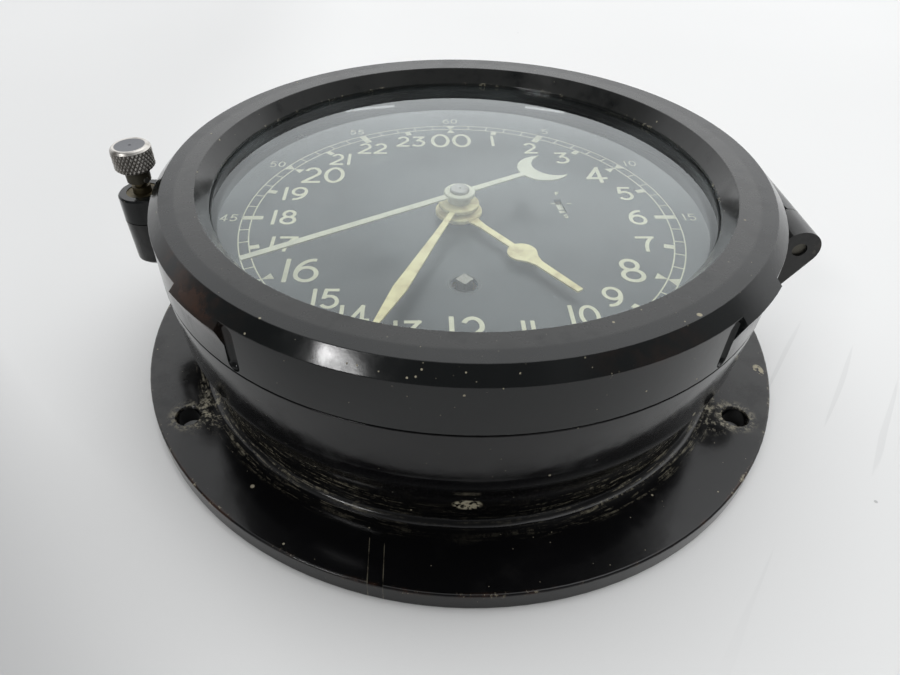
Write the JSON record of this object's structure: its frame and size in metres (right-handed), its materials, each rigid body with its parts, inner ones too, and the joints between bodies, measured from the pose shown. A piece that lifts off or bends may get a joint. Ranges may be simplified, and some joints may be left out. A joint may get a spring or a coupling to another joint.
{
  "type": "bulkhead clock",
  "caption": "Round black bulkhead clock with a wall flange, a hinged glazed bezel held by a knurled thumbscrew, a 24-hour dial, centre seconds hand and spring movement.",
  "frame": {"origin": "centre of the flange's back face, on the dial's axis", "axes": "+Z out of the dial, +Y to the top of the dial, +X to the hinge, so the clock lies on its back"},
  "size_m": [0.1982, 0.1968, 0.0676],
  "materials": {
    "case_plastic": "polished moulded black with faint wear",
    "bezel_plastic": "polished moulded black with brown wear on the chamfer",
    "insert_brass": "worn brass",
    "pin_steel": "dull steel",
    "knob_steel": "diamond knurled, bright edge",
    "screw_brass": "turned brass",
    "clip_steel": "spring steel",
    "rubber": "black rubber",
    "bead": "slate putty bead",
    "plate_brass": "brushed brass",
    "wheel_brass": "polished brass",
    "blued_steel": "blued steel",
    "arbor_steel": "polished steel",
    "dial_paint": "satin near-black dial with cream markings",
    "glass": "clear domed glass",
    "hand_paint": "matte cream",
    "cap_steel": "dull steel"
  },
  "bodies": {
    "case": {"case_body": "case_plastic", "latch_insert": "insert_brass", "hinge_pin": "pin_steel", "rim_gasket": "rubber", "movement_screws": "blued_steel", "back_plate": "plate_brass", "front_plate": "plate_brass", "plate_pillars": "plate_brass", "plate_screws": "blued_steel", "centre_bridge": "plate_brass", "balance_cock": "plate_brass", "pallet_bridge": "plate_brass", "hairspring": "blued_steel", "click_spring": "arbor_steel", "minute_post": "arbor_steel", "dial": "dial_paint", "dial_screws": "arbor_steel"},
    "bezel_frame": {"bezel": "bezel_plastic", "glass": "glass", "glass_gasket": "bead", "glass_ring": "plate_brass", "ring_screws": "arbor_steel", "latch_ferrule": "insert_brass"},
    "latch_slider": {"latch_clip": "clip_steel"},
    "latch_screw": {"thumbscrew": "screw_brass", "thumb_knob": "knob_steel", "stem_pin": "pin_steel"},
    "minute_work": {"minute_hand": "hand_paint", "cannon_pinion": "wheel_brass", "cannon_pipe": "wheel_brass"},
    "reduction": {"minute_wheel": "wheel_brass"},
    "hour_work": {"hour_hand": "hand_paint", "hour_wheel": "wheel_brass", "hour_pipe": "wheel_brass"},
    "sweep": {"second_hand": "hand_paint", "hand_cap": "cap_steel", "seconds_arbor": "arbor_steel", "sweep_pinion": "arbor_steel"},
    "centre": {"centre_arbor": "arbor_steel", "centre_wheel": "wheel_brass"},
    "intermediate": {"intermediate_arbor": "arbor_steel", "intermediate_wheel": "wheel_brass"},
    "going_barrel": {"barrel": "wheel_brass", "barrel_gear": "wheel_brass", "barrel_cover": "wheel_brass", "mainspring": "blued_steel"},
    "winding": {"winding_arbor": "arbor_steel", "ratchet_wheel": "arbor_steel"},
    "click_pawl": {"click": "arbor_steel"},
    "third": {"third_arbor": "arbor_steel", "third_wheel": "wheel_brass", "third_pinion": "arbor_steel"},
    "fourth": {"fourth_arbor": "arbor_steel", "fourth_wheel": "wheel_brass"},
    "escape": {"escape_arbor": "arbor_steel", "escape_wheel": "wheel_brass"},
    "lever": {"pallet_lever": "arbor_steel"},
    "balance": {"balance_staff": "arbor_steel", "balance_wheel": "wheel_brass"},
    "regulator_arm": {"regulator": "wheel_brass"}
  },
  "joints": [
    {"name": "bezel_hinge", "type": "hinge", "parent": "case", "child": "bezel_frame", "pos_m": [0.0925, 0, 0.0456], "axis": [0, 1, 0], "range_deg": [0, 150]},
    {"name": "thumbscrew_lift", "type": "slide", "parent": "bezel_frame", "child": "latch_slider", "axis": [0, 0, 1], "range_m": [0, 0.004]},
    {"name": "thumbscrew_turn", "type": "hinge", "parent": "latch_slider", "child": "latch_screw", "pos_m": [-0.0928, 0, 0.05], "axis": [0, 0, 1], "range_deg": [0, 1440]},
    {"name": "minute_hand_turn", "type": "hinge", "parent": "case", "child": "minute_work", "pos_m": [0, 0, 0.02], "axis": [0, 0, -1], "continuous": true},
    {"name": "minute_wheel_turn", "type": "hinge", "parent": "case", "child": "reduction", "pos_m": [-0.01973, -0.00718, 0.02], "axis": [0, 0, -1], "continuous": true},
    {"name": "hour_hand_turn", "type": "hinge", "parent": "case", "child": "hour_work", "pos_m": [0, 0, 0.02], "axis": [0, 0, -1], "continuous": true},
    {"name": "second_hand_turn", "type": "hinge", "parent": "case", "child": "sweep", "pos_m": [0, 0, 0.02], "axis": [0, 0, -1], "continuous": true},
    {"name": "centre_turn", "type": "hinge", "parent": "case", "child": "centre", "pos_m": [0, 0, 0.02], "axis": [0, 0, -1], "continuous": true},
    {"name": "intermediate_turn", "type": "hinge", "parent": "case", "child": "intermediate", "pos_m": [-0.01714, -0.01214, 0.02], "axis": [0, 0, -1], "continuous": true},
    {"name": "barrel_turn", "type": "hinge", "parent": "case", "child": "going_barrel", "pos_m": [0, -0.033, 0.02], "axis": [0, 0, -1], "continuous": true},
    {"name": "third_turn", "type": "hinge", "parent": "case", "child": "third", "pos_m": [-0.00727, 0.01997, 0.02], "axis": [0, 0, -1], "continuous": true},
    {"name": "fourth_turn", "type": "hinge", "parent": "case", "child": "fourth", "pos_m": [0.01366, 0.02366, 0.02], "axis": [0, 0, -1], "continuous": true},
    {"name": "escape_turn", "type": "hinge", "parent": "case", "child": "escape", "pos_m": [0.02497, 0.01018, 0.02], "axis": [0, 0, -1], "continuous": true},
    {"name": "winding_turn", "type": "hinge", "parent": "case", "child": "winding", "pos_m": [0, -0.033, 0.02], "axis": [0, 0, -1], "range_deg": [0, 1440]},
    {"name": "click_swing", "type": "hinge", "parent": "case", "child": "click_pawl", "pos_m": [0.01278, -0.03765, 0.035], "axis": [0, 0, 1], "range_deg": [0, 10]},
    {"name": "lever_rock", "type": "hinge", "parent": "case", "child": "lever", "pos_m": [0.03448, 0.00884, 0.02], "axis": [0, 0, -1], "range_deg": [-6, 6]},
    {"name": "balance_swing", "type": "hinge", "parent": "case", "child": "balance", "pos_m": [0.0433, 0.0076, 0.02], "axis": [0, 0, -1], "range_deg": [-135, 135], "stiffness_Nm_per_rad": 0.00003},
    {"name": "regulator_swing", "type": "hinge", "parent": "case", "child": "regulator_arm", "pos_m": [0.0433, 0.0076, 0.036], "axis": [0, 0, 1], "range_deg": [-12, 12]}
  ],
  "couplings": [
    {"joint": "thumbscrew_lift", "follows": "thumbscrew_turn", "m_per_rad": 0.00015915},
    {"joint": "minute_wheel_turn", "follows": "minute_hand_turn", "ratio": -0.16667},
    {"joint": "hour_hand_turn", "follows": "minute_hand_turn", "ratio": 0.041667},
    {"joint": "third_turn", "follows": "second_hand_turn", "ratio": -0.13333},
    {"joint": "fourth_turn", "follows": "second_hand_turn", "ratio": 1},
    {"joint": "centre_turn", "follows": "second_hand_turn", "ratio": 0.016667},
    {"joint": "intermediate_turn", "follows": "second_hand_turn", "ratio": -0.0027778},
    {"joint": "barrel_turn", "follows": "second_hand_turn", "ratio": 0.00034722},
    {"joint": "escape_turn", "follows": "second_hand_turn", "ratio": -10}
  ]
}
